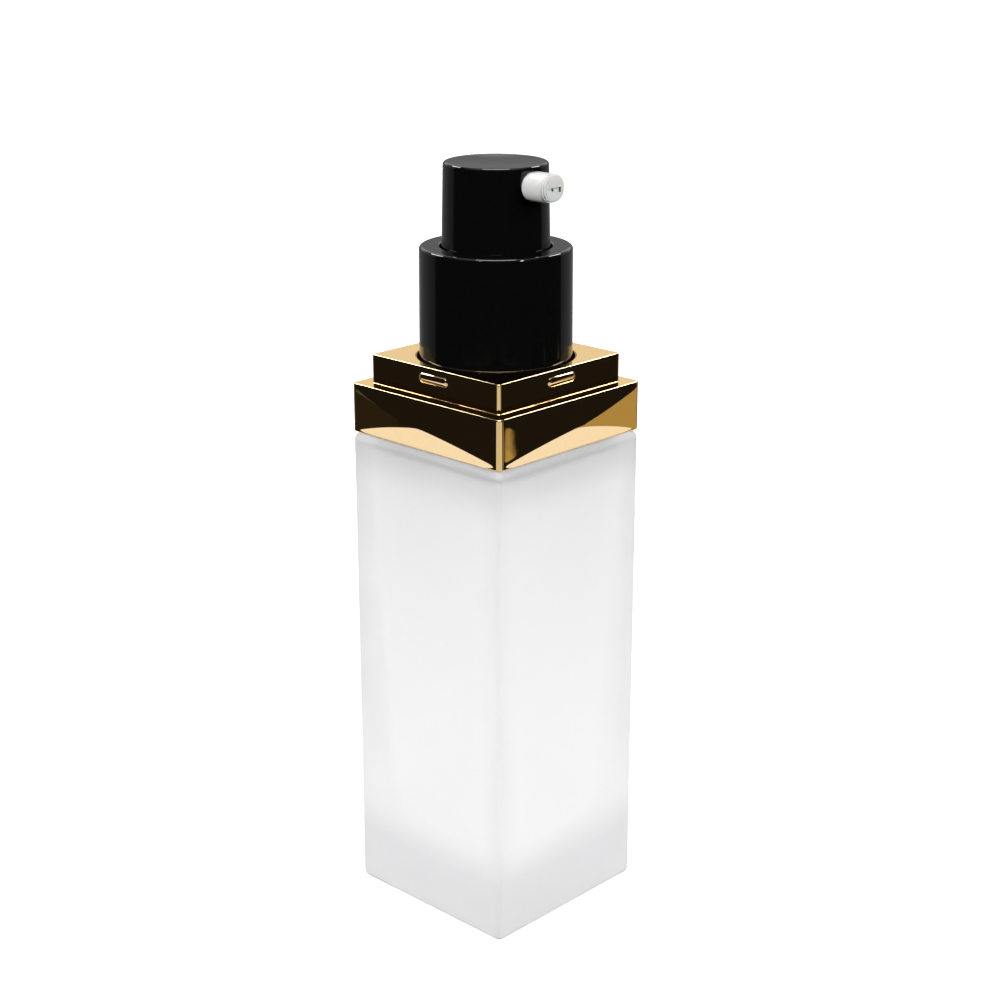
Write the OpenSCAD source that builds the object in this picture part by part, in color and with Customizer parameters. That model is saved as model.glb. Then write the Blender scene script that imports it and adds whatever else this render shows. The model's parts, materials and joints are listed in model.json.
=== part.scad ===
// Square glass foundation bottle with a gold collar and a treatment pump.
// Millimetres, +Z up. The origin is the centre of the face that the bottle stands on.
// The spout points along +X.

/* [Glass bottle] */
// Side of the square glass body
glass_side = 31; // [30:0.5:44]
// Height of the glass body from its foot to its shoulder
glass_h = 75.8; // [60:0.1:110]
// Thickness of the glass side walls at the top of the cavity
glass_wall = 1.7; // [1.5:0.1:3]
// Thickness of the glass side walls at the foot of the cavity
glass_foot_wall = 4.2; // [3:0.1:5]
// Thickness of the solid glass base
glass_floor = 12.5; // [4:0.5:18]
// Thickness of the glass above the cavity
glass_shoulder = 2; // [1.5:0.1:5]
// Radius of the upright outer edges of the glass
glass_edge_r = 0.8; // [0.5:0.1:2]
// Radius of the outer edges round the foot
glass_foot_r = 0.5; // [0.3:0.1:2]
// Radius of the outer edges round the shoulder
glass_shoulder_r = 1.4; // [0.5:0.1:2]
// Radius of the upright corners of the cavity at its top
cavity_edge_r = 2.5; // [1.5:0.1:5]
// Radius of the upright corners of the cavity at its foot
cavity_foot_edge_r = 5.5; // [3:0.1:6]
// Radius of the round between the cavity's walls and its floor
cavity_foot_r = 4.5; // [2:0.1:5]

/* [Neck] */
// Radius of the neck beneath its thread
neck_r = 8; // [7.5:0.1:9.6]
// Thickness of the neck wall
neck_wall = 2; // [1.6:0.1:2.5]
// Height of the neck above the shoulder
neck_h = 15.1; // [13:0.1:20]
// Height of the plain band at the foot of the neck
neck_band_h = 2.2; // [1.8:0.1:2.4]
// Rise of the thread in one turn
thread_pitch = 3.175; // [3.1:0.025:3.5]
// Depth of the thread
thread_depth = 0.85; // [0.6:0.05:1]
// Number of turns of thread on the neck
neck_turns = 1.5; // [1.25:0.25:1.75]

/* [Gold collar] */
// Height of the wide lower block
block_h = 7.6; // [6.5:0.1:12]
// Height of the narrower step on top of it
step_h = 4.4; // [3:0.1:8]
// Thickness of the step between the sleeve's hole and the middle of a side
step_wall = 1.44; // [1.3:0.01:3]
// Thickness of the collar's shell
collar_wall = 1.4; // [1:0.1:2]
// How far the point of each faceted side stands out
facet_rise = 1.2; // [0.4:0.1:2.5]
// Length of the bead on each side of the step
bead_len = 6; // [4:0.1:12]
// How far each bead stands out
bead_rise = 0.25; // [0.15:0.05:0.5]
// Radius of the round that each bead is cut from
bead_r = 1.1; // [0.8:0.05:1.3]

/* [Sleeve and closure] */
// Thickness of the threaded closure's skirt
closure_wall = 1.15; // [0.8:0.05:1.6]
// Thickness of the closure's top
closure_top = 1.3; // [1:0.1:2]
// Thickness of the black sleeve at its top
sleeve_wall = 1.18; // [0.8:0.02:2]
// Thickness of the sleeve's top
sleeve_top = 1.5; // [1:0.1:2.5]
// How much wider the sleeve's foot is than its top, on the radius
sleeve_draft = 0.17; // [0:0.01:0.4]

/* [Button and spout] */
// Radius of the button at its top
button_r = 7.82; // [7:0.02:9.4]
// How much wider the button's foot is than its top, on the radius
button_draft = 0.33; // [0:0.01:0.45]
// Thickness of the button's shell
button_wall = 1; // [0.8:0.05:1.3]
// Depth of the hollow in the button's top
button_dish = 0.15; // [0:0.05:0.6]
// How deep the button's foot stays inside the sleeve
button_overlap = 3; // [2:0.1:5]
// Travel of the button
press_travel = 5.5; // [3:0.1:7]
// Distance from the axis to the tip of the spout
spout_reach = 11.6; // [11:0.1:18]
// Width of the spout
spout_w = 4.9; // [4:0.1:6]
// Height of the spout
spout_h = 4.1; // [3.6:0.1:5]

/* [Pump] */
// Radius of the pump cylinder's bore
cylinder_r = 4.1; // [3.9:0.05:4.6]
// Thickness of the pump cylinder's wall
cylinder_wall = 0.8; // [0.6:0.05:1]
// Radius of the hollow stem
stem_r = 2.2; // [2:0.05:2.5]
// Radius of the channel in the stem
stem_bore_r = 1.1; // [0.9:0.05:1.3]
// Length of the piston
piston_len = 3.2; // [2.6:0.1:5]
// Play of the piston on its rod, which opens the outlet
piston_play = 0.8; // [0.5:0.1:1.2]
// Radius of the valve ball
ball_r = 1.5; // [1.3:0.05:1.8]
// Lift of the valve ball
ball_lift = 1; // [0.6:0.1:1.5]
// Radius of the spring wire
wire_r = 0.3; // [0.2:0.01:0.4]
// Number of working turns of the spring
spring_turns = 5; // [4:1:7]
// Radius of the dip tube
tube_r = 1.5; // [1.3:0.05:2]
// Radius of the dip tube's bore
tube_bore_r = 1; // [0.7:0.05:1.4]
// Gap between the dip tube's foot and the glass
tube_gap = 1.5; // [1:0.1:6]

/* [Hidden] */

$fn = 96;

// Clearances
press_gap = 0.02;
slide_gap = 0.05;
thread_gap = 0.25;
hole_gap = 0.24;
button_gap = 0.28;
lift_gap = 0.5;
eps = 0.01;

// How far a cut runs past the face it opens
over = 1;

// Glass bottle
half = glass_side / 2;
cavity_top = glass_h - glass_shoulder;
cavity_roof_r = 1;
cavity_min_r = 0.5;
neck_bore_r = neck_r - neck_wall;
neck_top = glass_h + neck_h;
crest_r = neck_r + thread_depth;
lip_r = 0.4;

// Threads: the closure's thread bears on the underside of the neck's thread
thread_root_w = 1.5;
thread_crest_w = 0.7;
thread_sink = 0.2;
thread_segments = 30;
thread_play = 0.1;
neck_thread_z = glass_h + neck_h - (neck_turns + 0.6) * thread_pitch;
closure_turns = 1.25;
closure_thread_start = -180;
thread_drop = (thread_root_w + thread_crest_w) / 2 + thread_play;

// Stack above the neck
gasket_h = 1.2;
flange_h = 1.2;
flange_top = neck_top + gasket_h + flange_h;
band_gap = 0.4;
closure_z = glass_h + neck_band_h + band_gap;
closure_in_r = crest_r + thread_gap;
closure_r = closure_in_r + closure_wall;
closure_h = flange_top + closure_top;
flange_r = neck_r - lip_r;

// Gold collar
block_z = glass_h + block_h;
step_z = block_z + step_h;
block_edge_r = 0.85;
step_edge_r = 0.55;
facet_margin = 0.25;
facet_sink = 0.3;
sleeve_foot_r = closure_r + press_gap + sleeve_wall + sleeve_draft;
sleeve_hole_r = sleeve_foot_r + hole_gap;
hole_lip = 0.4;
step_half = sleeve_hole_r + step_wall;
bead_drop = 1.7;
ring_h = 1.4;

// Sleeve, button and spout
sleeve_z = glass_h + ring_h + band_gap;
button_foot_gap = 1.2;
button_z = closure_h + press_travel + button_foot_gap;
sleeve_end = button_z + button_overlap;
spout_clearance = 2;
spout_z = sleeve_end + press_travel + spout_clearance + spout_h / 2;
spout_rim = 0.8;
button_end = spout_z + spout_h / 2 + spout_rim;
button_roof = 0.9;
spout_flat = 0.15;
spout_corner_r = min(spout_w, spout_h) / 2 - spout_flat;
spout_channel_r = 0.8;
spout_tail_r = 1.2;
spout_tail_len = 3.4;
arm_gap = 0.6;
spout_face_x = shell_r(spout_z) - button_wall - arm_gap;
window_gap = 0.1;

// Pump
cylinder_out_r = cylinder_r + cylinder_wall;
guide_depth = 4;
guide_z = flange_top - guide_depth;
guide_flange_r = cylinder_out_r + 0.3;
guide_flange_h = 1;
guide_nose_h = 2;
guide_nose_r = stem_r + 1.2;
guide_top = flange_top + guide_flange_h + guide_nose_h;
shoulder_h = 0.8;
shoulder_z = guide_z - shoulder_h;
piston_z = shoulder_z - piston_play - piston_len;
head_h = 1;
head_z = piston_z - head_h;
rod_r = 1.6;
head_r = 3.3;
rod_plug_len = 4.5;
spring_r = cylinder_r - wire_r - 0.5;
spring_len = press_travel + 2 * wire_r * spring_turns + 1.5;
ledge_z = head_z - spring_len;
ledge_h = 0.5;
chamber_r = ball_r + 0.6;
seat_r = 1;
chamber_top = ledge_z - ledge_h;
ball_z = chamber_top - ball_lift - ball_r;
seat_z = ball_z + seat_r - ball_r / sin(45) - eps;
socket_top = seat_z - 1.5;
socket_len = 6;
core_z = guide_top + press_travel + lift_gap;
stem_top = core_z + 5.7;
core_r = stem_r + 1.4;

// Arc of points from angle a to angle b about (x, y)
function arc(x, y, r, a, b, steps = 8) =
    [for (i = [0:steps]) [x + r * cos(a + (b - a) * i / steps), y + r * sin(a + (b - a) * i / steps)]];

// Radius of the drafted button shell at height z
function shell_r(z) = button_r + button_draft * (button_end - z) / (button_end - button_z);

// Square of half side a with round corners of radius r
module round_square(a, r) {
    union() {
        square([2 * a, 2 * (a - r)], center = true);
        square([2 * (a - r), 2 * a], center = true);
        for (x = [-1, 1], y = [-1, 1])
            translate([x * (a - r), y * (a - r)])
                circle(r);
    }
}

// Upright rounded rectangle in the XZ plane, run along Y, with corner radii foot_r and top_r
module round_slab(a, z0, z1, foot_r, top_r) {
    translate([0, a + over, 0])
        rotate([90, 0, 0])
            linear_extrude(2 * (a + over))
                union() {
                    translate([-a, z0 + foot_r])
                        square([2 * a, z1 - z0 - foot_r - top_r]);
                    translate([-a + foot_r, z0])
                        square([2 * (a - foot_r), foot_r + eps]);
                    translate([-a + top_r, z1 - top_r - eps])
                        square([2 * (a - top_r), top_r + eps]);
                    for (x = [-1, 1]) {
                        translate([x * (a - foot_r), z0 + foot_r])
                            circle(foot_r);
                        translate([x * (a - top_r), z1 - top_r])
                            circle(top_r);
                    }
                }
}

// Square block with round upright edges (side_r), foot edges (foot_r) and top edges (top_r)
module round_block(a, z0, z1, side_r, foot_r, top_r) {
    intersection() {
        translate([0, 0, z0])
            linear_extrude(z1 - z0)
                round_square(a, side_r);
        round_slab(a, z0, z1, foot_r, top_r);
        rotate([0, 0, 90])
            round_slab(a, z0, z1, foot_r, top_r);
    }
}

// Ring or tube from z0 to z1
module tube(outer, inner, z0, z1) {
    difference() {
        translate([0, 0, z0])
            cylinder(r = outer, h = z1 - z0);
        translate([0, 0, z0 - 1])
            cylinder(r = inner, h = z1 - z0 + 2);
    }
}

// Profile [[r, z], ...], counter-clockwise, swept up a helix that starts at angle a0 and height z0
module helix(profile, pitch, turns, z0, a0, segments) {
    n = ceil(turns * segments);
    m = len(profile);
    points = [for (i = [0:n], p = profile)
        let (t = turns * i / n, a = a0 + 360 * t)
            [p[0] * cos(a), p[0] * sin(a), p[1] + z0 + pitch * t]];
    sides = [for (i = [0:n - 1], j = [0:m - 1], k = [0, 1])
        let (a = i * m + j, b = i * m + (j + 1) % m)
            k == 0 ? [a, b, b + m] : [a, b + m, a + m]];
    start = [for (j = [0:m - 1]) m - 1 - j];
    end = [for (j = [0:m - 1]) n * m + j];
    polyhedron(points, concat([start], sides, [end]), convexity = 10);
}

// Thread ridge on a wall of radius root, with its crest at radius crest
module thread(root, crest, turns, z0, a0) {
    flank = (thread_root_w - thread_crest_w) / 2;
    sunk_w = thread_root_w / 2 + flank * thread_sink / abs(crest - root);
    sunk_r = crest > root ? root - thread_sink : root + thread_sink;
    ring = [[sunk_r, -sunk_w], [crest, -thread_crest_w / 2], [crest, thread_crest_w / 2], [sunk_r, sunk_w]];
    profile = crest > root ? ring : [for (i = [3:-1:0]) ring[i]];
    helix(profile, thread_pitch, turns, z0, a0, thread_segments);
}

// Shallow four-sided point on the -Y side of the collar's lower block
module facet() {
    w = half - block_edge_r - facet_margin;
    z0 = glass_h + facet_margin;
    z1 = block_z - facet_margin;
    y0 = -half + facet_sink;
    y1 = -half;
    back = [[-w, y0, z0], [w, y0, z0], [w, y0, z1], [-w, y0, z1]];
    front = [[-w, y1, z0], [w, y1, z0], [w, y1, z1], [-w, y1, z1]];
    point = [[0, y1 - facet_rise, (z0 + z1) / 2]];
    sides = [for (i = [0:3]) [i, 4 + i, 4 + (i + 1) % 4, (i + 1) % 4]];
    slopes = [for (i = [0:3]) [4 + i, 8, 4 + (i + 1) % 4]];
    polyhedron(concat(back, front, point), concat([[0, 1, 2, 3]], sides, slopes));
}

// Rounded bead on the -Y side of the collar's step
module bead() {
    y = -step_half - bead_rise + bead_r;
    end_x = bead_len / 2 - sqrt(bead_r * bead_r - (bead_r - bead_rise) * (bead_r - bead_rise));
    intersection() {
        translate([0, y, step_z - bead_drop])
            union() {
                rotate([0, 90, 0])
                    cylinder(r = bead_r, h = 2 * end_x, center = true);
                for (x = [-end_x, end_x])
                    translate([x, 0, 0])
                        sphere(bead_r);
            }
        translate([-bead_len, -step_half - 1, step_z - bead_drop - 2])
            cube([2 * bead_len, 1 + facet_sink, 4]);
    }
}

// Thin level slice of the cavity at height z, drawn in by inset
module cavity_slice(z, inset) {
    share = (cavity_top - z) / (cavity_top - glass_floor);
    wall = glass_wall + (glass_foot_wall - glass_wall) * share;
    edge = cavity_edge_r + (cavity_foot_edge_r - cavity_edge_r) * share;
    translate([0, 0, z])
        linear_extrude(eps)
            round_square(half - wall - inset, max(edge - inset, cavity_min_r), $fn = 32);
}

// Cavity that narrows downwards, with a round foot and a small round under its roof
module cavity() {
    hull() {
        for (a = [0:15:90])
            cavity_slice(glass_floor + cavity_foot_r * (1 - cos(a)), cavity_foot_r * (1 - sin(a)));
        for (a = [0:30:90])
            cavity_slice(cavity_top - cavity_roof_r * (1 - cos(a)), cavity_roof_r * (1 - sin(a)));
    }
}

// Rounded rectangle of the spout, run along X from x0 to x1
module spout_bar(w, h, r, x0, x1) {
    translate([x0, 0, spout_z])
        rotate([90, 0, 90])
            linear_extrude(x1 - x0)
                union() {
                    square([w, h - 2 * r], center = true);
                    square([w - 2 * r, h], center = true);
                    for (x = [-1, 1], z = [-1, 1])
                        translate([x * (w / 2 - r), z * (h / 2 - r)])
                            circle(r);
                }
}

module glass_bottle() {
    color([0.9, 0.92, 0.93, 0.5])
        difference() {
            union() {
                round_block(half, 0, glass_h, glass_edge_r, glass_foot_r, glass_shoulder_r);
                translate([0, 0, cavity_top])
                    cylinder(r = neck_r, h = neck_top - lip_r - cavity_top);
                translate([0, 0, neck_top - lip_r])
                    cylinder(r1 = neck_r, r2 = neck_r - lip_r, h = lip_r);
                translate([0, 0, cavity_top])
                    cylinder(r = crest_r, h = glass_h + neck_band_h - cavity_top);
                thread(neck_r, crest_r, neck_turns, neck_thread_z, 0);
            }
            cavity();
            translate([0, 0, cavity_top - 3])
                cylinder(r = neck_bore_r, h = neck_top);
        }
}

module gold_collar() {
    color([0.83, 0.65, 0.36])
        difference() {
            union() {
                translate([0, 0, glass_h])
                    linear_extrude(block_h)
                        round_square(half, block_edge_r);
                translate([0, 0, glass_h + 1])
                    linear_extrude(block_h + step_h - 1)
                        round_square(step_half, step_edge_r);
                for (turn = [0:90:270])
                    rotate([0, 0, turn]) {
                        facet();
                        bead();
                    }
            }
            translate([0, 0, glass_h - 1])
                linear_extrude(1 + block_h - collar_wall)
                    round_square(half - collar_wall, block_edge_r);
            translate([0, 0, glass_h])
                cylinder(r = sleeve_hole_r, h = block_h + step_h + over);
            translate([0, 0, step_z - hole_lip])
                cylinder(r1 = sleeve_hole_r, r2 = sleeve_hole_r + hole_lip + eps, h = hole_lip + eps);
        }
}

// Plastic ring pressed into the collar's foot and over the band of the neck
module collar_grip_ring() {
    color([0.93, 0.93, 0.9])
        difference() {
            translate([0, 0, glass_h])
                linear_extrude(ring_h)
                    round_square(half - collar_wall - press_gap, block_edge_r);
            translate([0, 0, glass_h - 1])
                cylinder(r = crest_r + press_gap, h = ring_h + 2);
        }
}

module neck_gasket() {
    color([0.95, 0.95, 0.93])
        tube(flange_r, cylinder_out_r + press_gap, neck_top, neck_top + gasket_h);
}

// Pump cylinder with its flange, ball chamber and dip tube socket
module pump_cylinder() {
    cone_h = cylinder_out_r - chamber_r - cylinder_wall;
    color([0.9, 0.9, 0.92, 0.8])
        difference() {
            union() {
                translate([0, 0, ledge_z - ledge_h])
                    cylinder(r = cylinder_out_r, h = flange_top - ledge_z + ledge_h);
                translate([0, 0, flange_top - flange_h])
                    cylinder(r = flange_r, h = flange_h);
                translate([0, 0, ledge_z - ledge_h - cone_h])
                    cylinder(r1 = chamber_r + cylinder_wall, r2 = cylinder_out_r, h = cone_h);
                translate([0, 0, socket_top - 1])
                    cylinder(r = chamber_r + cylinder_wall, h = ledge_z - ledge_h - socket_top + over);
                translate([0, 0, socket_top - socket_len])
                    cylinder(r = tube_r + cylinder_wall, h = socket_len);
            }
            translate([0, 0, ledge_z])
                cylinder(r = cylinder_r, h = flange_top - ledge_z + over);
            translate([0, 0, chamber_top - 1])
                cylinder(r = ball_r - 0.15, h = ledge_h + 2);
            for (turn = [0, 90])
                rotate([0, 0, turn])
                    translate([-chamber_r, -0.5, chamber_top - 1])
                        cube([2 * chamber_r, 1, ledge_h + 2]);
            translate([0, 0, seat_z + chamber_r - seat_r])
                cylinder(r = chamber_r, h = chamber_top - seat_z - chamber_r + seat_r);
            translate([0, 0, seat_z])
                cylinder(r1 = seat_r, r2 = chamber_r, h = chamber_r - seat_r);
            translate([0, 0, socket_top - 1])
                cylinder(r = seat_r, h = seat_z - socket_top + 2);
            translate([0, 0, socket_top - socket_len - 1])
                cylinder(r = tube_r + press_gap, h = socket_len + over);
        }
}

// Guide that closes the cylinder and carries the stem
module stem_guide() {
    color([0.95, 0.95, 0.96])
        difference() {
            union() {
                translate([0, 0, guide_z])
                    cylinder(r = cylinder_r - press_gap, h = guide_depth);
                translate([0, 0, flange_top])
                    cylinder(r = guide_flange_r, h = guide_flange_h);
                translate([0, 0, flange_top])
                    cylinder(r = guide_nose_r, h = guide_flange_h + guide_nose_h);
            }
            translate([0, 0, guide_z - 1])
                cylinder(r = stem_r + slide_gap, h = guide_top - guide_z + 2);
        }
}

// Dip tube with a slanted foot
module dip_tube() {
    color([0.93, 0.94, 0.95, 0.7])
        difference() {
            tube(tube_r, tube_bore_r, glass_floor + tube_gap, socket_top);
            translate([tube_r, -2 * tube_r, glass_floor + tube_gap])
                rotate([0, 45, 0])
                    translate([-6 * tube_r, 0, -4 * tube_r])
                        cube([12 * tube_r, 4 * tube_r, 4 * tube_r]);
        }
}

module valve_ball() {
    color([0.75, 0.76, 0.78])
        translate([0, 0, ball_z])
            sphere(ball_r);
}

module return_spring() {
    section = [for (i = [0:7]) [spring_r + wire_r * cos(45 * i), wire_r * sin(45 * i)]];
    color([0.78, 0.79, 0.8])
        helix(section, (spring_len - 2 * wire_r) / spring_turns, spring_turns, ledge_z + wire_r, 0, 20);
}

// Piston with a sealing lip at each end
module piston() {
    lip = 0.8;
    color([0.88, 0.9, 0.94])
        difference() {
            union() {
                for (z = [piston_z, piston_z + piston_len - lip])
                    translate([0, 0, z])
                        cylinder(r = cylinder_r - slide_gap, h = lip);
                translate([0, 0, piston_z])
                    cylinder(r = cylinder_r - 0.7, h = piston_len);
            }
            translate([0, 0, piston_z - 1])
                cylinder(r = rod_r + slide_gap, h = piston_len + 2);
        }
}

// Rod with the head that the piston seals on and a fluted plug that holds the stem
module piston_rod() {
    flute = 0.4;
    color([0.9, 0.9, 0.9])
        difference() {
            union() {
                translate([0, 0, head_z])
                    cylinder(r = head_r, h = head_h);
                translate([0, 0, head_z])
                    cylinder(r = rod_r, h = shoulder_z - head_z);
                translate([0, 0, head_z])
                    cylinder(r = stem_bore_r - press_gap, h = shoulder_z - head_z + rod_plug_len);
            }
            for (turn = [0:90:270])
                rotate([0, 0, turn])
                    translate([stem_bore_r - flute, -flute / 2, piston_z + 0.4])
                        cube([rod_r, flute, shoulder_z - piston_z + rod_plug_len]);
        }
}

// Hollow stem with the shoulder that stops under the guide
module pump_stem() {
    color([0.95, 0.95, 0.95])
        difference() {
            union() {
                translate([0, 0, shoulder_z])
                    cylinder(r = head_r - 0.3, h = shoulder_h);
                translate([0, 0, shoulder_z])
                    cylinder(r = stem_r, h = stem_top - shoulder_z);
            }
            translate([0, 0, shoulder_z - over])
                cylinder(r = stem_bore_r, h = stem_top - shoulder_z + 2 * over);
        }
}

// Threaded ring that clamps the pump's flange and gasket on the neck
module closure_ring() {
    color([0.12, 0.12, 0.13])
        union() {
            tube(closure_r, closure_in_r, closure_z, flange_top + eps);
            tube(closure_r, guide_flange_r + 0.1, flange_top, closure_h);
            thread(closure_in_r, neck_r + thread_gap, closure_turns,
                neck_thread_z - thread_drop + thread_pitch * closure_thread_start / 360,
                closure_thread_start);
        }
}

// Black sleeve pressed over the closure, with the hole that the button slides in
module outer_sleeve() {
    in_r = closure_r + press_gap;
    top_r = in_r + sleeve_wall;
    hole_r = shell_r(sleeve_end - sleeve_top) + button_gap;
    round_r = 0.5;
    rim_r = 0.25;
    color([0.04, 0.04, 0.045])
        rotate_extrude()
            polygon(concat(
                [[in_r, sleeve_z], [top_r + sleeve_draft, sleeve_z]],
                arc(top_r - round_r, sleeve_end - round_r, round_r, 0, 90),
                arc(hole_r + rim_r, sleeve_end - rim_r, rim_r, 90, 180, 4),
                [[hole_r, sleeve_end - sleeve_top], [in_r, sleeve_end - sleeve_top]]));
}

// Core that takes the stem from below and the spout from the side
module button_core() {
    roof_z = button_end - button_roof - 0.2;
    disc_z = stem_top + 0.3;
    disc_h = 1;
    arm_w = 2 * (spout_tail_r + 1.1);
    arm_z = spout_z - spout_tail_r - 0.9;
    color([0.93, 0.93, 0.92])
        difference() {
            union() {
                translate([0, 0, core_z])
                    cylinder(r = core_r, h = roof_z - core_z);
                translate([0, 0, disc_z])
                    cylinder(r = shell_r(disc_z + disc_h) - button_wall - slide_gap, h = disc_h);
                translate([0, -arm_w / 2, arm_z])
                    cube([spout_face_x, arm_w, roof_z - arm_z]);
            }
            translate([0, 0, core_z - over])
                cylinder(r = stem_r + press_gap, h = stem_top - core_z + over);
            translate([0, 0, core_z])
                cylinder(r = stem_bore_r, h = spout_z - core_z);
            translate([0, 0, spout_z])
                rotate([0, 90, 0])
                    cylinder(r = spout_channel_r, h = spout_reach);
            translate([spout_face_x - spout_tail_len, 0, spout_z])
                rotate([0, 90, 0])
                    cylinder(r = spout_tail_r + press_gap, h = spout_reach);
        }
}

// White spout with a round tail that plugs into the core
module spout_nozzle() {
    end_r = 0.8;
    end_steps = 4;
    end_turn = 90 / end_steps;
    end_root = 0.5;
    slot_w = 2.8;
    slot_h = 0.75;
    slot_depth = 0.4;
    slot_drop = 0.2;
    outlet_r = 0.25;
    outlet_x = spout_reach - slot_depth - 1.6;
    tail_x = spout_face_x - spout_tail_len;
    color([0.97, 0.97, 0.97])
        difference() {
            union() {
                spout_bar(spout_w, spout_h, spout_corner_r, spout_face_x, spout_reach - end_r);
                for (i = [0:end_steps - 1])
                    let (a = end_turn * i, b = a + end_turn, cut = end_r * (1 - cos((a + b) / 2)))
                        spout_bar(spout_w - 2 * cut, spout_h - 2 * cut, spout_corner_r - cut,
                            spout_face_x + end_root, spout_reach - end_r * (1 - sin(b)));
                translate([tail_x, 0, spout_z])
                    rotate([0, 90, 0])
                        cylinder(r = spout_tail_r, h = spout_tail_len + end_root);
            }
            translate([tail_x - over, 0, spout_z])
                rotate([0, 90, 0])
                    cylinder(r = spout_channel_r, h = outlet_x - tail_x + over);
            translate([outlet_x - eps, 0, spout_z - slot_drop])
                rotate([0, 90, 0])
                    cylinder(r = outlet_r, h = spout_reach - outlet_x);
            translate([spout_reach - slot_depth, -slot_w / 2, spout_z - slot_h / 2 - slot_drop])
                cube([slot_depth + over, slot_w, slot_h]);
        }
}

// Black shell of the button, with a window for the spout
module button_shell() {
    round_r = 0.5;
    in_top = button_end - button_roof;
    dish_r = button_r - 0.9;
    dish_ball = button_dish > 0 ? (dish_r * dish_r + button_dish * button_dish) / (2 * button_dish) : 0;
    color([0.04, 0.04, 0.045])
        difference() {
            rotate_extrude()
                polygon(concat(
                    [[shell_r(button_z) - button_wall, button_z], [shell_r(button_z), button_z]],
                    arc(button_r - round_r, button_end - round_r, round_r, 0, 90),
                    [[0, button_end], [0, in_top], [button_r - button_wall, in_top]]));
            translate([0, 0, button_end - button_dish + dish_ball])
                sphere(dish_ball);
            spout_bar(spout_w + 2 * window_gap, spout_h + 2 * window_gap, spout_corner_r + window_gap,
                spout_face_x - window_gap, shell_r(button_z) + over);
        }
}

glass_bottle();
gold_collar();
collar_grip_ring();
neck_gasket();
pump_cylinder();
stem_guide();
dip_tube();
valve_ball();
return_spring();
piston();
piston_rod();
pump_stem();
closure_ring();
outer_sleeve();
button_core();
spout_nozzle();
button_shell();
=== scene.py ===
import json
import math

import bmesh
import bpy
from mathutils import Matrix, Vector

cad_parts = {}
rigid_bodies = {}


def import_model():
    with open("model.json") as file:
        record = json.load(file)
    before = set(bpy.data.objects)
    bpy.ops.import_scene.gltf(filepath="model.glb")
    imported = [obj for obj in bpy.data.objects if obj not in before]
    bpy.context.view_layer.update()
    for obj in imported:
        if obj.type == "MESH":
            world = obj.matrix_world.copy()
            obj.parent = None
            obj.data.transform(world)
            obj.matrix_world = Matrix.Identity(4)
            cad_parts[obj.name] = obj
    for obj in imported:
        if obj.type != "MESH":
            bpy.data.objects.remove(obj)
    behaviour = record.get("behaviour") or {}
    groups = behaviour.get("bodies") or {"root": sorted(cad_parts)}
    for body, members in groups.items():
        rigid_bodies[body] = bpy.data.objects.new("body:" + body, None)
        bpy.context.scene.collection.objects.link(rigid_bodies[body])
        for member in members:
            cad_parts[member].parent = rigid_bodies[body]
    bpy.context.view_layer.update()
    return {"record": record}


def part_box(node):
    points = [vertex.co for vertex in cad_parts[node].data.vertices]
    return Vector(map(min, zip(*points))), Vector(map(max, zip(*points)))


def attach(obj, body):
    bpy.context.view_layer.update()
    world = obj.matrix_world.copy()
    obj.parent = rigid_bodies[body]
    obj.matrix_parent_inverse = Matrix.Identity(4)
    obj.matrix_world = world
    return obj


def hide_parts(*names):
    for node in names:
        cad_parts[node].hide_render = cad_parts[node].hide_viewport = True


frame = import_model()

MM = 0.001


# ---------- places and sizes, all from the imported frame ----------

def span(node):
    """Lowest and highest corner of a CAD node."""
    low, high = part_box(node)
    return Vector(low), Vector(high)


COLLAR_LOW, COLLAR_HIGH = span("gold_collar")
GLASS_HIGH = span("glass_bottle")[1]
SLEEVE_HIGH = span("outer_sleeve")[1]
HALF = GLASS_HIGH.x
SHOULDER_Z = COLLAR_LOW.z
STEP_TOP = COLLAR_HIGH.z
LEDGE_Z = [mount for mount in frame["record"]["mounts"] if mount["name"] == "cap_seat"][0]["pos_m"][2]
# Offset that keeps two neighbouring rings of points apart on a flat face
NUDGE = 0.03 * MM


# ---------- mesh helpers ----------

def new_object(name, verts, faces, smooth=True):
    """Mesh object with outward normals."""
    mesh = bpy.data.meshes.new(name)
    mesh.from_pydata([tuple(v) for v in verts], [], faces)
    mesh.update()
    bm = bmesh.new()
    bm.from_mesh(mesh)
    bmesh.ops.remove_doubles(bm, verts=bm.verts, dist=1e-7)
    bmesh.ops.recalc_face_normals(bm, faces=bm.faces)
    bm.to_mesh(mesh)
    bm.free()
    for polygon in mesh.polygons:
        polygon.use_smooth = smooth
    obj = bpy.data.objects.new(name, mesh)
    bpy.context.scene.collection.objects.link(obj)
    return obj


def loft(name, rings, closed=False, caps=True):
    """Skin a list of rings that all have the same number of points."""
    count = len(rings[0])
    verts = [point for ring in rings for point in ring]
    faces = []
    last = len(rings) if closed else len(rings) - 1
    for i in range(last):
        a = i * count
        b = ((i + 1) % len(rings)) * count
        for j in range(count):
            k = (j + 1) % count
            faces.append((a + j, a + k, b + k, b + j))
    if caps and not closed:
        faces.append(tuple(range(count)))
        faces.append(tuple(range((len(rings) - 1) * count, len(rings) * count)))
    return new_object(name, verts, faces)


def arc(x, y, radius, start, end, steps=8):
    """Points on an arc, angles in degrees."""
    points = []
    for i in range(steps + 1):
        angle = math.radians(start + (end - start) * i / steps)
        points.append((x + radius * math.cos(angle), y + radius * math.sin(angle)))
    return points


def weigh_normals(obj):
    """Keep large flat faces flat beside their small edge rounds."""
    modifier = obj.modifiers.new("weighted_normals", "WEIGHTED_NORMAL")
    modifier.weight = 100
    modifier.keep_sharp = False
    return obj


# ---------- materials ----------

# Share of the etched surface that scatters: on the sides and round the shoulder
HAZE_SHARE = 0.45
SHOULDER_HAZE = 0.5
HAZE_FADE = (SHOULDER_Z - 4 * MM, SHOULDER_Z)
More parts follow.
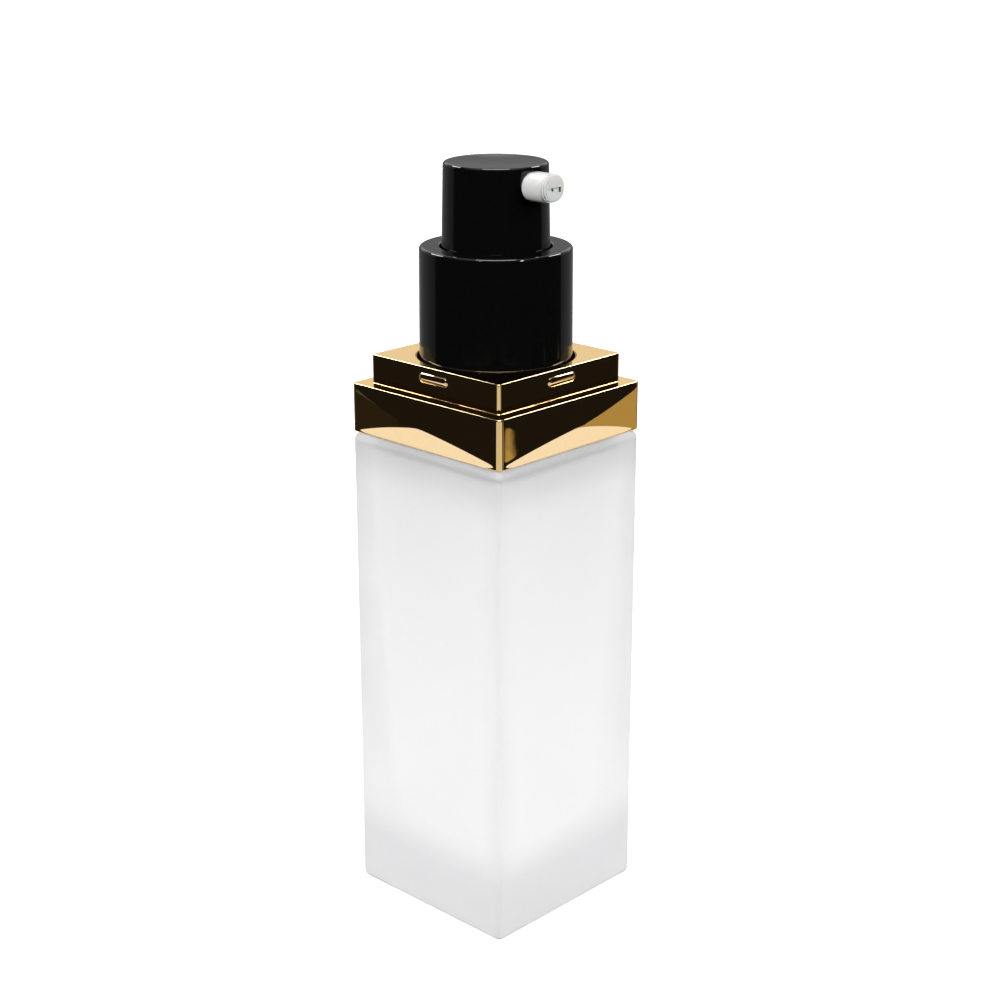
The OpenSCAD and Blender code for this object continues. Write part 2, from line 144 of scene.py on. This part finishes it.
# Painted shade in the haze's colour: darker near the face edges where solid glass lies behind it, towards the
# foot, and just under the collar
PAINTED_EDGE_SHADE = (0.87, 0.87, 0.88)
PAINTED_EDGE_SHADE_FADE = (11 * MM, 14.5 * MM)
PAINTED_FOOT_SHADE = (0.73, 0.73, 0.74)
PAINTED_FOOT_SHADE_FADE = (9 * MM, 15 * MM)
PAINTED_COLLAR_SHADE = (0.66, 0.66, 0.67)
PAINTED_COLLAR_SHADE_FADE = (SHOULDER_Z - 8 * MM, SHOULDER_Z - 1 * MM)
# Bounds between the glass's outside and its cavity
SIDE_REACH = 14.6 * MM
MID_Z = 40 * MM
END_REACH = 35 * MM


def material(name):
    mat = bpy.data.materials.new(name)
    mat.use_nodes = True
    tree = mat.node_tree
    return mat, tree, tree.nodes["Principled BSDF"]


def object_coords(tree):
    return tree.nodes.new("ShaderNodeTexCoord").outputs["Object"]


def noise(tree, scale, detail=2.0, roughness=0.5):
    node = tree.nodes.new("ShaderNodeTexNoise")
    node.inputs["Scale"].default_value = scale
    node.inputs["Detail"].default_value = detail
    node.inputs["Roughness"].default_value = roughness
    tree.links.new(object_coords(tree), node.inputs["Vector"])
    return node.outputs["Fac"]


def feed(tree, socket, value):
    """Give a socket a number or a colour, or link it to another node's output."""
    if isinstance(value, bpy.types.NodeSocket):
        tree.links.new(value, socket)
    elif isinstance(value, tuple):
        socket.default_value = (*value, 1)
    else:
        socket.default_value = value


def calculate(tree, operation, *values):
    node = tree.nodes.new("ShaderNodeMath")
    node.operation = operation
    for i, value in enumerate(values):
        feed(tree, node.inputs[i], value)
    return node.outputs[0]


def remap(tree, value, low, high, from_low=0.0, from_high=1.0):
    node = tree.nodes.new("ShaderNodeMapRange")
    node.inputs["From Min"].default_value = from_low
    node.inputs["From Max"].default_value = from_high
    node.inputs["To Min"].default_value = low
    node.inputs["To Max"].default_value = high
    tree.links.new(value, node.inputs["Value"])
    return node.outputs["Result"]


def mix_colour(tree, factor, first, second):
    node = tree.nodes.new("ShaderNodeMix")
    node.data_type = "RGBA"
    feed(tree, node.inputs["A"], first)
    feed(tree, node.inputs["B"], second)
    tree.links.new(factor, node.inputs["Factor"])
    return node.outputs["Result"]


def mix_shader(tree, factor, first, second):
    """Blend two shaders into the material's surface."""
    node = tree.nodes.new("ShaderNodeMixShader")
    tree.links.new(factor, node.inputs["Fac"])
    tree.links.new(first.outputs[0], node.inputs[1])
    tree.links.new(second.outputs[0], node.inputs[2])
    tree.links.new(node.outputs[0], tree.nodes["Material Output"].inputs["Surface"])


def add_bump(tree, shader, height, strength, distance):
    node = tree.nodes.new("ShaderNodeBump")
    node.inputs["Strength"].default_value = strength
    node.inputs["Distance"].default_value = distance
    tree.links.new(height, node.inputs["Height"])
    tree.links.new(node.outputs["Normal"], shader.inputs["Normal"])


def object_axes(tree):
    split = tree.nodes.new("ShaderNodeSeparateXYZ")
    tree.links.new(object_coords(tree), split.inputs[0])
    return split.outputs


def outside_mask(tree, axes):
    """1 on the bottle's outer faces and neck, 0 on the cavity's walls."""
    masks = []
    for axis, middle, reach in (("X", 0.0, SIDE_REACH), ("Y", 0.0, SIDE_REACH), ("Z", MID_Z, END_REACH)):
        distance = calculate(tree, "ABSOLUTE", calculate(tree, "SUBTRACT", axes[axis], middle))
        masks.append(calculate(tree, "GREATER_THAN", distance, reach))
    return calculate(tree, "MAXIMUM", calculate(tree, "MAXIMUM", masks[0], masks[1]), masks[2])


def gold_material():
    """Mirror gold plating with faint waviness and specks."""
    mat, tree, shader = material("gold_plating")
    shader.inputs["Metallic"].default_value = 1.0
    colour = mix_colour(tree, noise(tree, 900, 3), (0.93, 0.70, 0.40), (0.96, 0.74, 0.44))
    tree.links.new(colour, shader.inputs["Base Color"])
    tree.links.new(remap(tree, noise(tree, 1500, 4), 0.008, 0.025), shader.inputs["Roughness"])
    shader.inputs["Specular Tint"].default_value = (1.0, 0.88, 0.66, 1)
    add_bump(tree, shader, noise(tree, 260, 2), 0.25, 0.00002)
    return mat


def black_material():
    """Polished black plastic with faint moulding waviness."""
    mat, tree, shader = material("black_plastic")
    colour = mix_colour(tree, noise(tree, 1200, 4), (0.0012, 0.0012, 0.0013), (0.002, 0.002, 0.0021))
    tree.links.new(colour, shader.inputs["Base Color"])
    tree.links.new(remap(tree, noise(tree, 700, 4), 0.03, 0.07), shader.inputs["Roughness"])
    add_bump(tree, shader, noise(tree, 180, 2), 0.2, 0.00003)
    return mat


def white_material():
    """Smooth white moulded plastic."""
    mat, tree, shader = material("white_plastic")
    colour = mix_colour(tree, noise(tree, 800, 3), (0.42, 0.42, 0.416), (0.46, 0.46, 0.456))
    tree.links.new(colour, shader.inputs["Base Color"])
    tree.links.new(remap(tree, noise(tree, 600, 3), 0.22, 0.3), shader.inputs["Roughness"])
    shader.inputs["Subsurface Weight"].default_value = 0.15
    shader.inputs["Subsurface Scale"].default_value = 0.001
    add_bump(tree, shader, noise(tree, 500, 3), 0.1, 0.00002)
    return mat


def milky_material(name="natural_plastic"):
    """Natural milky plastic of the inner pump pieces."""
    mat, tree, shader = material(name)
    colour = mix_colour(tree, noise(tree, 700, 3), (0.84, 0.85, 0.86), (0.9, 0.9, 0.9))
    tree.links.new(colour, shader.inputs["Base Color"])
    tree.links.new(remap(tree, noise(tree, 500, 3), 0.35, 0.5), shader.inputs["Roughness"])
    add_bump(tree, shader, noise(tree, 900, 3), 0.15, 0.00002)
    return mat


def steel_material():
    """Bright drawn steel."""
    mat, tree, shader = material("spring_steel")
    shader.inputs["Metallic"].default_value = 1.0
    colour = mix_colour(tree, noise(tree, 1500, 3), (0.6, 0.61, 0.63), (0.72, 0.73, 0.75))
    tree.links.new(colour, shader.inputs["Base Color"])
    tree.links.new(remap(tree, noise(tree, 2500, 4), 0.15, 0.3), shader.inputs["Roughness"])
    add_bump(tree, shader, noise(tree, 3000, 2), 0.1, 0.00001)
    return mat


def from_middle(tree, axes):
    """Distance along a side face from its upright middle line."""
    return calculate(
        tree, "MINIMUM", calculate(tree, "ABSOLUTE", axes["X"]), calculate(tree, "ABSOLUTE", axes["Y"]))


def frosted_glass_material():
    """Clear glass with an etched, softly scattering outside, its haze darkened by painted shade near the face
    edges, towards the foot and just under the collar.
    """
    mat, tree, shader = material("frosted_glass")
    shader.inputs["Transmission Weight"].default_value = 1.0
    shader.inputs["IOR"].default_value = 1.5
    colour = mix_colour(tree, noise(tree, 60, 3), (0.97, 0.97, 0.975), (0.985, 0.985, 0.99))
    tree.links.new(colour, shader.inputs["Base Color"])
    axes = object_axes(tree)
    outside = outside_mask(tree, axes)
    etched = remap(tree, noise(tree, 1800, 4), 0.5, 0.6)
    tree.links.new(calculate(tree, "MULTIPLY", etched, outside), shader.inputs["Roughness"])
    haze = tree.nodes.new("ShaderNodeBsdfPrincipled")
    haze_colour = mix_colour(tree, noise(tree, 2500, 4), (0.93, 0.93, 0.935), (0.97, 0.97, 0.975))
    # Painted shade: the haze darkens near the face edges, towards the foot and just under the collar
    edge_shade_mask = remap(tree, from_middle(tree, axes), 0.0, 1.0, *PAINTED_EDGE_SHADE_FADE)
    foot_shade_mask = remap(tree, axes["Z"], 1.0, 0.0, *PAINTED_FOOT_SHADE_FADE)
    collar_shade_mask = remap(tree, axes["Z"], 0.0, 1.0, *PAINTED_COLLAR_SHADE_FADE)
    for mask, tint in ((edge_shade_mask, PAINTED_EDGE_SHADE), (foot_shade_mask, PAINTED_FOOT_SHADE), (collar_shade_mask, PAINTED_COLLAR_SHADE)):
        haze_colour = mix_colour(tree, mask, haze_colour, tint)
    tree.links.new(haze_colour, haze.inputs["Base Color"])
    haze.inputs["Roughness"].default_value = 0.6
    haze.inputs["Specular IOR Level"].default_value = 0.0
    thick = remap(tree, axes["Z"], HAZE_SHARE, SHOULDER_HAZE, *HAZE_FADE)
    mix_shader(tree, calculate(tree, "MULTIPLY", outside, thick), shader, haze)
    return mat


GOLD = gold_material()
BLACK = black_material()
WHITE_PLASTIC = white_material()
MILKY = milky_material()
TUBE = milky_material("tube_plastic")
STEEL = steel_material()
GLASS = frosted_glass_material()


def dress(obj, mat):
    obj.data.materials.clear()
    obj.data.materials.append(mat)


# ---------- gold collar ----------

BLOCK_EDGE_R = 0.85 * MM
STEP_EDGE_R = 0.55 * MM
STEP_WALL = 1.44 * MM
HOLE_GAP = 0.24 * MM
HOLE_R = SLEEVE_HIGH.x + HOLE_GAP
STEP_HALF = HOLE_R + STEP_WALL
HOLE_LIP = 0.4 * MM
COLLAR_WALL = 1.4 * MM
FACET_MARGIN = 0.2 * MM
FACET_LIP = 0.05 * MM
FACET_RISE = COLLAR_HIGH.x - HALF
FACET_LEVELS = 48
FACET_SOFTNESS = 0.1
# Share of each facet's slope along the side that is flat rather than curved
FACET_FLATNESS = 0.6
RIDGE_POWER = 12
LEVEL_EDGE_R = 0.2 * MM
FOOT_EDGE_R = 0.15 * MM
NOOK_R = 0.12 * MM
BEAD_R = 1.1 * MM
BEAD_RISE = 0.25 * MM
BEAD_LENGTH = 6 * MM
BEAD_DROP = 1.7 * MM
# How far the bead's face leans upward, as a share of its rise
BEAD_LEAN = 0.9
BEAD_CELLS = 48
BEAD_END_CELLS = 12
TINY = 0.002 * MM
# Points along each side and round each corner of a square ring
SIDE_CELLS = 56
CORNER_CELLS = 8


def square_ring(half, radius, z, relief=None):
    """Points round a square with round corners; relief(u) pushes its sides outward."""
    points = []
    flat = half - radius
    for side in range(4):
        turn = math.radians(90 * side)
        cos, sin = math.cos(turn), math.sin(turn)
        local = []
        for i in range(SIDE_CELLS + 1):
            u = -flat + 2 * flat * i / SIDE_CELLS
            out = relief(u / flat) if relief else 0.0
            local.append((half + out, u))
        for i in range(1, CORNER_CELLS):
            angle = math.radians(90 * i / CORNER_CELLS)
            local.append((flat + radius * math.cos(angle), flat + radius * math.sin(angle)))
        points += [(x * cos - y * sin, x * sin + y * cos, z) for x, y in local]
    return points


def round_ring(radius, z, like):
    """Points round a circle, at the same bearings as the points of another ring."""
    points = []
    for x, y, _ in like:
        length = math.hypot(x, y)
        points.append((x * radius / length, y * radius / length, z))
    return points


def softened(t):
    """Size of t in 0..1 with its fold at 0 rounded off."""
    size = abs(t)
    return math.sqrt(size * size + FACET_SOFTNESS ** 2) - FACET_SOFTNESS * (1 - size)


def facet_height(u, v):
    """Height of the faceted side at u, v in -1..1: four slopes with softened ridges."""
    along = FACET_FLATNESS * softened(u) + (1 - FACET_FLATNESS) * u * u
    up = softened(v)
    ridge = (max(along, 1e-6) ** RIDGE_POWER + max(up, 1e-6) ** RIDGE_POWER) ** (1 / RIDGE_POWER)
    return max(0.0, 1 - ridge)


def gold_collar():
    """Block with faceted sides, ledge, step and round hole, as one closed skin."""
    rings = []
    edge = LEVEL_EDGE_R

    def block_ring(inset, z, relief=None):
        rings.append(square_ring(HALF - inset, BLOCK_EDGE_R, z, relief))

    def step_ring(inset, z):
        rings.append(square_ring(STEP_HALF - inset, STEP_EDGE_R, z))

    def hole_ring(radius, z):
        rings.append(round_ring(radius, z, rings[-1]))

    block_ring(COLLAR_WALL, SHOULDER_Z)
    for x, y in arc(FOOT_EDGE_R, FOOT_EDGE_R, FOOT_EDGE_R, 270, 180, 4):
        block_ring(x, SHOULDER_Z + y)
    low = SHOULDER_Z + FACET_MARGIN
    high = LEDGE_Z - FACET_MARGIN - FACET_LIP
    for i in range(FACET_LEVELS + 1):
        v = -1 + 2 * i / FACET_LEVELS
        z = (low + high) / 2 + v * (high - low) / 2
        block_ring(0, z, lambda u, v=v: FACET_RISE * facet_height(u, v))
    for x, y in arc(edge, LEDGE_Z - edge, edge, 180, 90, 6):
        block_ring(x, y)
    block_ring(edge + NUDGE, LEDGE_Z)

    step_ring(-NOOK_R - NUDGE, LEDGE_Z)
    for x, y in arc(-NOOK_R, LEDGE_Z + NOOK_R, NOOK_R, 270, 360, 6):
        step_ring(x, y)
    step_ring(0, LEDGE_Z + NOOK_R + NUDGE)
    step_ring(0, STEP_TOP - edge - NUDGE)
    for x, y in arc(edge, STEP_TOP - edge, edge, 180, 90, 6):
        step_ring(x, y)
    step_ring(edge + NUDGE, STEP_TOP)

    hole_ring(HOLE_R + HOLE_LIP + NUDGE, STEP_TOP)
    for x, y in arc(HOLE_R + HOLE_LIP, STEP_TOP - HOLE_LIP, HOLE_LIP, 90, 180, 8):
        hole_ring(x, y)
    hole_ring(HOLE_R, STEP_TOP - HOLE_LIP - NUDGE)
    roof = LEDGE_Z - COLLAR_WALL
    hole_ring(HOLE_R, roof)
    block_ring(COLLAR_WALL, roof)
    return weigh_normals(loft("gold_collar_shell", rings, closed=True))


def collar_bead(index):
    """Rounded bead in the middle of one side of the step."""
    centre = STEP_HALF + BEAD_RISE - BEAD_R
    height = STEP_TOP - BEAD_DROP
    end = BEAD_LENGTH / 2 - math.sqrt(BEAD_R ** 2 - (BEAD_R - BEAD_RISE) ** 2)
    turn = math.radians(90 * index)
    rings = []
    for side, first in ((-1, -90), (1, 0)):
        for i in range(BEAD_END_CELLS + 1):
            angle = math.radians(first + 90 * i / BEAD_END_CELLS)
            y = side * end + BEAD_R * math.sin(angle)
            size = max(BEAD_R * math.cos(angle), TINY)
            ring = []
            for j in range(BEAD_CELLS):
                around = 2 * math.pi * j / BEAD_CELLS
                x = centre + size * math.cos(around)
                ring.append((
                    x * math.cos(turn) - y * math.sin(turn),
                    x * math.sin(turn) + y * math.cos(turn),
                    height + size * math.sin(around) + BEAD_LEAN * max(0.0, x - STEP_HALF)))
            rings.append(ring)
    return loft("collar_bead_%d" % (index + 1), rings)


collar = gold_collar()
dress(collar, GOLD)
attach(collar, "bottle")
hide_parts("gold_collar")
for side in range(4):
    bead = collar_bead(side)
    dress(bead, GOLD)
    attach(bead, "bottle")


# ---------- glass bottle ----------

GLASS_EDGE_R = 0.8 * MM
GLASS_FOOT_R = 0.5 * MM
GLASS_SHOULDER_R = 1.4 * MM
NECK_R = 8 * MM
NECK_BORE_R = 6 * MM
NECK_LIP = 0.4 * MM
NECK_FILLET = 0.4 * MM
BORE_FILLET = 0.8 * MM
BORE_STEP = 1 * MM
CAVITY_TOP_HALF = 13.8 * MM
CAVITY_FOOT_HALF = 11.3 * MM
CAVITY_TOP_EDGE_R = 2.5 * MM
CAVITY_FOOT_EDGE_R = 5.5 * MM
CAVITY_MIN_R = 0.3 * MM
CAVITY_FLOOR_Z = 12.5 * MM
CAVITY_ROOF_Z = SHOULDER_Z - 2.0 * MM
CAVITY_FOOT_ROUND = 4.5 * MM
CAVITY_ROOF_ROUND = 1.0 * MM
# Radius of the smallest ring in the middle of a flat end
CENTRE_R = 0.2 * MM
SKIN_NUDGE = 0.05 * MM
# Rings that frame the flat faces, in from their edges
FOOT_INSET = 2 * MM
FLAT_INSET = 3 * MM
SIDE_LEVELS = 8
CAVITY_LEVELS = 16


def glass_bottle():
    """One closed skin: foot, sides, shoulder, neck, bore and tapered cavity."""
    rings = [round_ring(CENTRE_R, 0, square_ring(HALF, GLASS_EDGE_R, 0))]
    foot_r, top_r = GLASS_FOOT_R, GLASS_SHOULDER_R

    def outer(inset, z):
        rings.append(square_ring(HALF - inset, max(GLASS_EDGE_R - inset, SKIN_NUDGE), z))

    def disc(radius, z):
        rings.append(round_ring(radius, z, rings[-1]))

    def cavity(inset, z):
        share = (CAVITY_ROOF_Z - z) / (CAVITY_ROOF_Z - CAVITY_FLOOR_Z)
        half = CAVITY_TOP_HALF + (CAVITY_FOOT_HALF - CAVITY_TOP_HALF) * share
        radius = CAVITY_TOP_EDGE_R + (CAVITY_FOOT_EDGE_R - CAVITY_TOP_EDGE_R) * share
        rings.append(square_ring(half - inset, max(radius - inset, CAVITY_MIN_R), z))

    outer(FOOT_INSET, 0)
    outer(foot_r + SKIN_NUDGE, 0)
    for x, y in arc(foot_r, foot_r, foot_r, 270, 180, 8):
        outer(x, y)
    side_height = SHOULDER_Z - foot_r - top_r - 2 * SKIN_NUDGE
    for i in range(SIDE_LEVELS + 1):
        outer(0, foot_r + SKIN_NUDGE + side_height * i / SIDE_LEVELS)
    for x, y in arc(top_r, SHOULDER_Z - top_r, top_r, 180, 90, 8):
        outer(x, y)
    outer(top_r + SKIN_NUDGE, SHOULDER_Z)
    outer(FLAT_INSET, SHOULDER_Z)

    fillet_r = NECK_R + NECK_FILLET
    disc(fillet_r, SHOULDER_Z)
    for x, y in arc(fillet_r, SHOULDER_Z + NECK_FILLET, NECK_FILLET, 270, 180, 5):
        disc(x, y)
    lip_z = GLASS_HIGH.z - NECK_LIP
    for x, y in arc(NECK_R - NECK_LIP, lip_z, NECK_LIP, 0, 90, 6):
        disc(x, y)
    for x, y in arc(NECK_BORE_R + NECK_LIP, lip_z, NECK_LIP, 90, 180, 6):
        disc(x, y)
    disc(NECK_BORE_R, CAVITY_ROOF_Z + BORE_STEP)
    for x, y in arc(NECK_BORE_R + BORE_FILLET, CAVITY_ROOF_Z + BORE_FILLET, BORE_FILLET, 180, 270, 6):
        disc(x, y)

    cavity(FLAT_INSET, CAVITY_ROOF_Z)
    cavity(CAVITY_ROOF_ROUND + 2 * SKIN_NUDGE, CAVITY_ROOF_Z)
    wall_top = CAVITY_ROOF_Z - CAVITY_ROOF_ROUND
    wall_foot = CAVITY_FLOOR_Z + CAVITY_FOOT_ROUND
    for x, y in arc(CAVITY_ROOF_ROUND, wall_top, CAVITY_ROOF_ROUND, 90, 180, 8):
        cavity(x, y)
    for i in range(1, CAVITY_LEVELS):
        cavity(0, wall_top + (wall_foot - wall_top) * i / CAVITY_LEVELS)
    for x, y in arc(CAVITY_FOOT_ROUND, wall_foot, CAVITY_FOOT_ROUND, 180, 270, 14):
        cavity(x, y)
    disc(FLAT_INSET, CAVITY_FLOOR_Z)
    disc(CENTRE_R, CAVITY_FLOOR_Z)
    return weigh_normals(loft("glass_body", rings))


glass = glass_bottle()
dress(glass, GLASS)
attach(glass, "bottle")
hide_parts("glass_bottle")


# ---------- other CAD nodes ----------

NODE_MATERIALS = {
    "collar_grip_ring": MILKY,
    "neck_gasket": MILKY,
    "pump_cylinder": MILKY,
    "stem_guide": MILKY,
    "dip_tube": TUBE,
    "valve_ball": STEEL,
    "return_spring": STEEL,
    "piston": MILKY,
    "piston_rod": MILKY,
    "pump_stem": MILKY,
    "closure_ring": BLACK,
    "outer_sleeve": BLACK,
    "button_core": WHITE_PLASTIC,
    "spout_nozzle": WHITE_PLASTIC,
    "button_shell": BLACK,
}
for node, mat in NODE_MATERIALS.items():
    for obj in bpy.data.objects:
        if obj.type == "MESH" and obj.name == node:
            for slot in obj.material_slots:
                slot.material = mat


# ---------- floor, lights and camera ----------

AZIMUTH = math.radians(43.65)
ELEVATION = math.radians(18.29)
DISTANCE = 0.3013
LENS = 70.19
SENSOR = 36
AIM = Vector((0.000435, 0.000415, 0.06448))
BACK = Vector((
    math.sin(AZIMUTH) * math.cos(ELEVATION),
    -math.cos(AZIMUTH) * math.cos(ELEVATION),
    math.sin(ELEVATION)))
FRONT = Vector((math.sin(AZIMUTH), -math.cos(AZIMUTH), 0))
SIDE = Vector((math.cos(AZIMUTH), math.sin(AZIMUTH), 0))


def bearing(turn, height):
    """Direction turn degrees to the right of the camera's side and height degrees up."""
    level = FRONT * math.cos(math.radians(turn)) + SIDE * math.sin(math.radians(turn))
    return level * math.cos(math.radians(height)) + Vector((0, 0, math.sin(math.radians(height))))


# What polished faces mirror: dark in front, greys at the sides and behind, white above
ROOM_DARK = (0.012, 0.01, 0.008)
SIDE_GREY = (0.12, 0.12, 0.12)
REAR_GREY = (0.2, 0.2, 0.2)
HORIZON_GREY = (0.28, 0.28, 0.28)
WHITE_WALL = (0.86, 0.83, 0.78)
WHITE = (1.0, 1.0, 1.0)
# How much whiter the room is when seen through the glass
GLASS_LIFT = 0.2
OLIVE = (0.44, 0.32, 0.11)
DARK_OLIVE = (0.022, 0.017, 0.009)
BRIGHT = (12.0, 12.0, 12.0)
# Cards that only polished faces mirror: turn, height, half width in degrees, ripple, colour
CARDS = [
    (107.5, -23.5, 10, 0.002, OLIVE),
    (77, -17.5, 3.4, 0.002, OLIVE),
    (-105, -24, 10, 0.002, DARK_OLIVE),
    (-135, 40, 8, 0.0, BRIGHT),
    (135, 40, 8, 0.0, BRIGHT),
]
CARD_SOFTNESS = 0.0006
CARD_RIPPLE_SCALE = 22
# Paper on the floor: outline as (distance towards the camera, half width) stations,
# glow, and the even colours it gives to matt faces and to mirrors
PAPER = (0.95, 0.95, 0.95)
PAPER_DEPTH = 0.02 * MM
DULL = (0.05, 0.05, 0.05)
FLOOR_PARTS = [
    ("studio_floor", [(0.05, 0.165), (0.02, 0.165), (-0.12, 0.14)], 0.0, DULL, (1.0, 0.99, 1.0)),
    ("studio_floor_front", [(0.36, 0.08), (0.32, 0.17), (0.22, 0.285), (0.12, 0.2), (0.05, 0.165)],
     0.0, DULL, (0.7, 0.64, 0.5)),
    ("studio_backdrop", [(-0.12, 0.14), (-2.6, 0.8)], 0.4, WHITE, (0.25, 0.25, 0.25)),
]
# Lamps that make small highlights, and broad fills that no polished face mirrors: name, turn
LAMPS = [("left_lamp", -27), ("right_lamp", 45)]
FILLS = [("left_fill", -60), ("right_fill", 60)]
LIGHT_DISTANCE = 0.9
LAMP_RISE = 45
LAMP_POWER = 0.25
LAMP_SIZE = 0.05
LAMP_AIM = (0, 0, 0.06)
FILL_RISE = 30
FILL_POWER = 11.3
FILL_SIZE = 0.4
FILL_AIM = (0, 0, 0.04)
SUN_STRENGTH = 1.6
SUN_WIDTH = 30


def floor_part(name, outline, glow, scattered, mirrored):
    """Strip of paper, which lights the bottle as an even sheet of the given colours."""
    verts = []
    for along, width in outline:
        for side in (-1, 1):
            point = FRONT * along + SIDE * (side * width)
            verts.append((point.x, point.y, -PAPER_DEPTH))
    faces = [(2 * i, 2 * i + 1, 2 * i + 3, 2 * i + 2) for i in range(len(outline) - 1)]
    floor = new_object(name, verts, faces, smooth=False)
    mat, tree, shader = material(name + "_paper")
    colour = mix_colour(tree, noise(tree, 8, 2), tuple(0.99 * c for c in PAPER), PAPER)
    tree.links.new(colour, shader.inputs["Base Color"])
    shader.inputs["Roughness"].default_value = 0.9
    shader.inputs["Specular IOR Level"].default_value = 0.1
    shader.inputs["Emission Color"].default_value = (1, 1, 1, 1)
    shader.inputs["Emission Strength"].default_value = glow
    path = tree.nodes.new("ShaderNodeLightPath")
    sheet = tree.nodes.new("ShaderNodeEmission")
    tree.links.new(mix_colour(tree, path.outputs["Is Glossy Ray"], scattered, mirrored), sheet.inputs["Color"])
    mix_shader(tree, path.outputs["Is Camera Ray"], sheet, shader)
    dress(floor, mat)


def area_light(name, turn, rise, target, size, power):
    """Square lamp at a bearing from the bottle, aimed at the target."""
    data = bpy.data.lights.new(name, "AREA")
    data.shape = "SQUARE"
    data.size = size
    data.energy = power
    light = bpy.data.objects.new(name, data)
    light.location = bearing(turn, rise) * LIGHT_DISTANCE
    light.rotation_euler = (Vector(target) - light.location).to_track_quat("-Z", "Y").to_euler()
    bpy.context.scene.collection.objects.link(light)
    return light


def sun_light():
    """Broad even light from straight above."""
    data = bpy.data.lights.new("overhead", "SUN")
    data.energy = SUN_STRENGTH
    data.angle = math.radians(SUN_WIDTH)
    light = bpy.data.objects.new("overhead", data)
    light.location = (0, 0, 0.5)
    bpy.context.scene.collection.objects.link(light)


def studio_world():
    """White to the eye; a dark and grey room with cards in it to polished faces."""
    world = bpy.data.worlds.new("studio")
    bpy.context.scene.world = world
    world.use_nodes = True
    tree = world.node_tree
    direction = tree.nodes.new("ShaderNodeTexCoord").outputs["Generated"]

    def facing(axis, low, high):
        """Ramp from 0 to 1 as the direction's share along axis goes low to high."""
        dot = tree.nodes.new("ShaderNodeVectorMath")
        dot.operation = "DOT_PRODUCT"
        dot.inputs[1].default_value = axis
        tree.links.new(direction, dot.inputs[0])
        return remap(tree, dot.outputs["Value"], 0.0, 1.0, low, high)

    def both(first, second):
        return calculate(tree, "MULTIPLY", first, second)

    def rippled(value, ripple):
        texture = tree.nodes.new("ShaderNodeTexNoise")
        texture.inputs["Scale"].default_value = CARD_RIPPLE_SCALE
        tree.links.new(direction, texture.inputs["Vector"])
        return calculate(tree, "ADD", value, remap(tree, texture.outputs["Fac"], -ripple, ripple))

    up = (0, 0, 1)
    behind = tuple(-FRONT)
    rear = facing(tuple(bearing(-174.5, 0)), 0.27, 0.33)
    low_rear = mix_colour(tree, facing(behind, 0.3, 0.95), SIDE_GREY, REAR_GREY)
    colour = mix_colour(tree, rear, ROOM_DARK, low_rear)
    colour = mix_colour(tree, both(rear, facing(up, 0.02, 0.1)), colour, HORIZON_GREY)
    colour = mix_colour(tree, both(facing(behind, 0.7, 0.8), facing(up, 0.195, 0.235)), colour, WHITE_WALL)
    colour = mix_colour(tree, facing(up, 0.75, 0.9), colour, WHITE_WALL)
    path = tree.nodes.new("ShaderNodeLightPath")
    for turn, height, width, ripple, tint in CARDS:
        edge = math.cos(math.radians(width))
        near = rippled(facing(tuple(bearing(turn, height)), 0.0, 1.0), ripple)
        inside = remap(tree, near, 0.0, 1.0, edge - CARD_SOFTNESS, edge + CARD_SOFTNESS)
        colour = mix_colour(tree, both(path.outputs["Is Glossy Ray"], inside), colour, tint)
    through = remap(tree, path.outputs["Is Transmission Ray"], 0.0, GLASS_LIFT)
    colour = mix_colour(tree, through, colour, WHITE)
    colour = mix_colour(tree, path.outputs["Is Camera Ray"], colour, WHITE)
    background = tree.nodes["Background"]
    tree.links.new(colour, background.inputs["Color"])
    background.inputs["Strength"].default_value = 1.0


def camera():
    data = bpy.data.cameras.new("camera")
    data.lens = LENS
    data.sensor_width = SENSOR
    data.clip_start = 0.01
    data.clip_end = 10
    cam = bpy.data.objects.new("camera", data)
    cam.location = AIM + BACK * DISTANCE
    cam.rotation_euler = BACK.to_track_quat("Z", "Y").to_euler()
    bpy.context.scene.collection.objects.link(cam)
    bpy.context.scene.camera = cam


for name, outline, glow, scattered, mirrored in FLOOR_PARTS:
    floor_part(name, outline, glow, scattered, mirrored)
studio_world()
sun_light()
for name, turn in LAMPS:
    area_light(name, turn, LAMP_RISE, LAMP_AIM, LAMP_SIZE, LAMP_POWER)
for name, turn in FILLS:
    fill = area_light(name, turn, FILL_RISE, FILL_AIM, FILL_SIZE, FILL_POWER)
    fill.visible_glossy = False
camera()
bpy.context.scene.view_settings.view_transform = "Standard"
